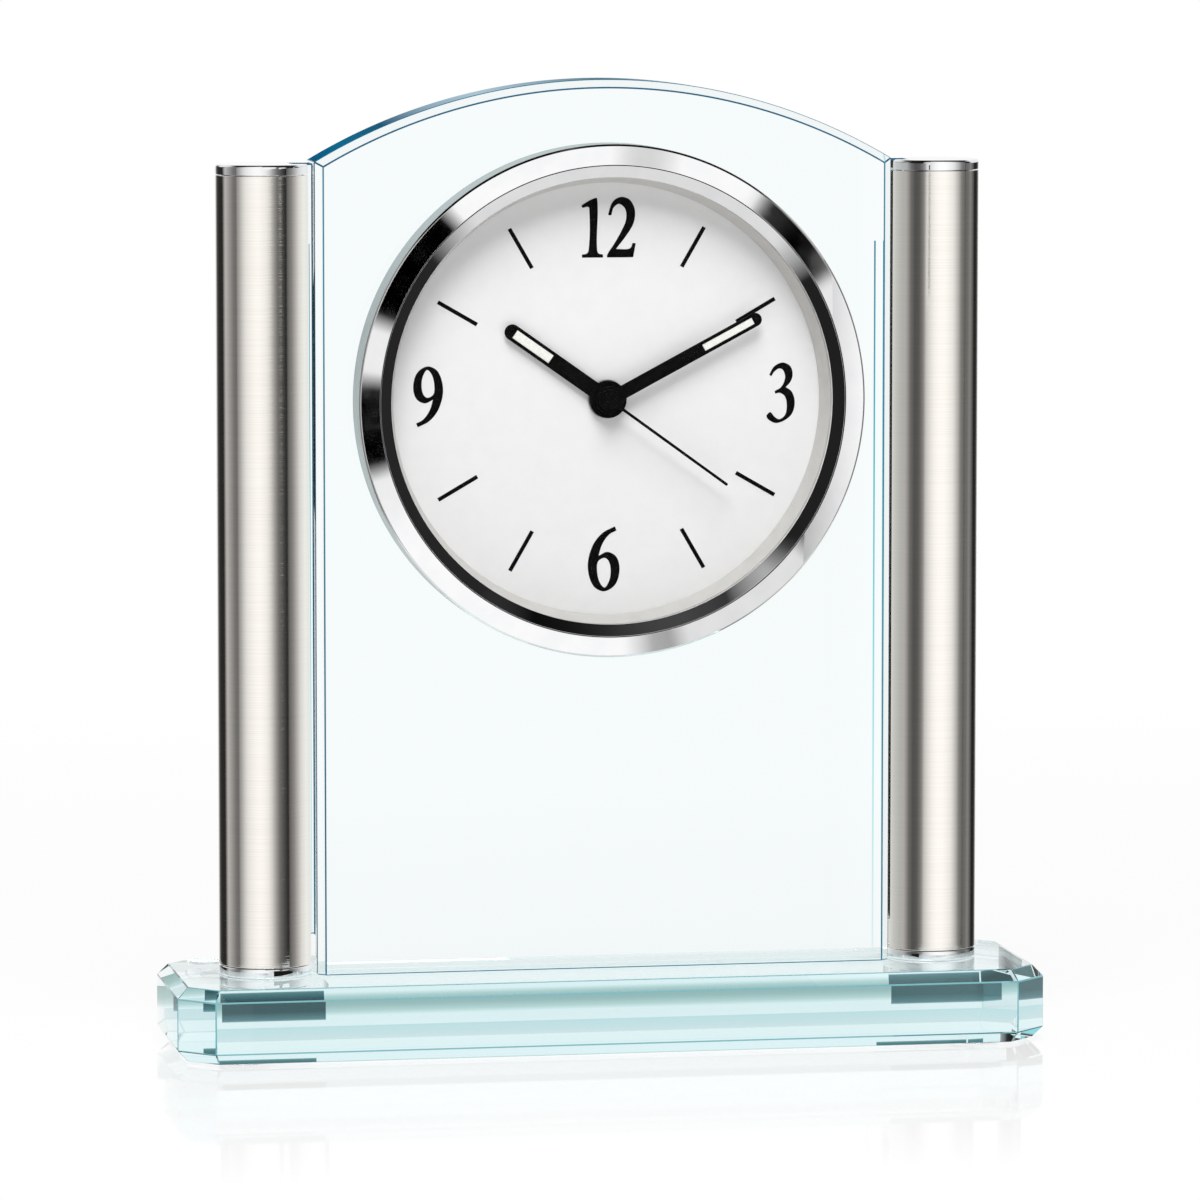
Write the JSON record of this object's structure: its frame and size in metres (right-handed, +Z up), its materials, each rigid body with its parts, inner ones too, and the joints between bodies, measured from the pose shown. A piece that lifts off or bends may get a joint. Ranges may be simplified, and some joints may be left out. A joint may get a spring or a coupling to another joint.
{
  "type": "desk clock",
  "caption": "Desk clock: round quartz insert in an arched clear glass slab between brushed metal pillars on a bevelled glass base; the hands turn through gear trains.",
  "frame": {"origin": "on the table, under the middle of the base", "axes": "+Z up, the dial faces -Y, +X to the right as seen from the front"},
  "size_m": [0.155, 0.042, 0.1709],
  "materials": {
    "glass": "thick clear glass, polished faces and bevels",
    "clear_pad": "clear soft plastic",
    "brushed_nickel": "brushed along the length",
    "chrome": "polished",
    "steel": "plain",
    "black_rubber": "matt",
    "lens_glass": "flat clear crystal",
    "reflector": "cream, satin",
    "dial_white": "matt white with black printed numerals and marks",
    "hand_black": "satin black",
    "lume": "pale luminous fill",
    "case_black": "moulded, satin",
    "shell_grey": "moulded",
    "wheel_cream": "moulded",
    "copper_wire": "enamelled copper winding",
    "board_green": "lacquered circuit board",
    "battery_jacket": "plain printed jacket"
  },
  "bodies": {
    "clock": {"pillar_tube_left": "brushed_nickel", "pillar_cap_left": "chrome", "pillar_collar_left": "chrome", "pillar_rod_left": "steel", "rod_washer_left": "steel", "base_pad_front_left": "clear_pad", "base_pad_back_left": "clear_pad", "pillar_tube_right": "brushed_nickel", "pillar_cap_right": "chrome", "pillar_collar_right": "chrome", "pillar_rod_right": "steel", "rod_washer_right": "steel", "base_pad_front_right": "clear_pad", "base_pad_back_right": "clear_pad", "base_block": "glass", "upright_slab": "glass", "bezel": "chrome", "lens": "lens_glass", "reflector_ring": "reflector", "dial_plate": "dial_white", "insert_case": "case_black", "grip_gasket": "black_rubber", "case_screw_1": "steel", "case_screw_2": "steel", "front_shell": "shell_grey", "back_shell": "shell_grey", "train_bridge": "shell_grey", "stator": "steel", "coil": "copper_wire", "circuit_board": "board_green", "quartz_can": "steel", "battery": "battery_jacket", "contact_negative": "steel", "contact_positive": "steel"},
    "second_arbor": {"second_wheel": "wheel_cream", "second_hand": "hand_black"},
    "third": {"third_wheel": "wheel_cream"},
    "centre": {"centre_wheel": "wheel_cream"},
    "intermediate": {"intermediate_wheel": "wheel_cream"},
    "rotor": {"rotor": "steel"},
    "minute_arbor": {"cannon_pinion": "wheel_cream", "minute_hand": "hand_black", "minute_hand_lume": "lume"},
    "minute_reducer": {"minute_wheel": "wheel_cream"},
    "hour_arbor": {"hour_wheel": "wheel_cream", "hour_hand": "hand_black", "hour_hand_lume": "lume"},
    "stem": {"setting_stem": "case_black"},
    "cover": {"battery_cover": "case_black"}
  },
  "joints": [
    {"name": "second_spin", "type": "hinge", "parent": "clock", "child": "second_arbor", "pos_m": [0, 0, 0.1149], "axis": [0, 1, 0], "continuous": true},
    {"name": "third_spin", "type": "hinge", "parent": "clock", "child": "third", "pos_m": [0.00801, 0, 0.11027], "axis": [0, 1, 0], "continuous": true},
    {"name": "centre_spin", "type": "hinge", "parent": "clock", "child": "centre", "pos_m": [0, 0, 0.1149], "axis": [0, 1, 0], "continuous": true},
    {"name": "intermediate_spin", "type": "hinge", "parent": "clock", "child": "intermediate", "pos_m": [-0.00161, 0, 0.12406], "axis": [0, 1, 0], "continuous": true},
    {"name": "rotor_spin", "type": "hinge", "parent": "clock", "child": "rotor", "pos_m": [0.00337, 0, 0.12587], "axis": [0, 1, 0], "continuous": true},
    {"name": "minute_spin", "type": "hinge", "parent": "clock", "child": "minute_arbor", "pos_m": [0, 0, 0.1149], "axis": [0, 1, 0], "continuous": true},
    {"name": "minute_reducer_spin", "type": "hinge", "parent": "clock", "child": "minute_reducer", "pos_m": [-0.00686, 0, 0.1124], "axis": [0, 1, 0], "continuous": true},
    {"name": "hour_spin", "type": "hinge", "parent": "clock", "child": "hour_arbor", "pos_m": [0, 0, 0.1149], "axis": [0, 1, 0], "continuous": true},
    {"name": "stem_spin", "type": "hinge", "parent": "clock", "child": "stem", "pos_m": [-0.01405, 0, 0.11367], "axis": [0, 1, 0], "continuous": true},
    {"name": "cover_lift", "type": "slide", "parent": "clock", "child": "cover", "axis": [0, 1, 0], "range_m": [0, 0.008]}
  ],
  "couplings": [
    {"joint": "third_spin", "follows": "second_spin", "ratio": -0.13333},
    {"joint": "centre_spin", "follows": "second_spin", "ratio": 0.016667},
    {"joint": "intermediate_spin", "follows": "second_spin", "ratio": -5},
    {"joint": "rotor_spin", "follows": "second_spin", "ratio": 30},
    {"joint": "minute_reducer_spin", "follows": "minute_spin", "ratio": -0.33333},
    {"joint": "hour_spin", "follows": "minute_spin", "ratio": 0.083333},
    {"joint": "stem_spin", "follows": "minute_spin", "ratio": 1}
  ]
}
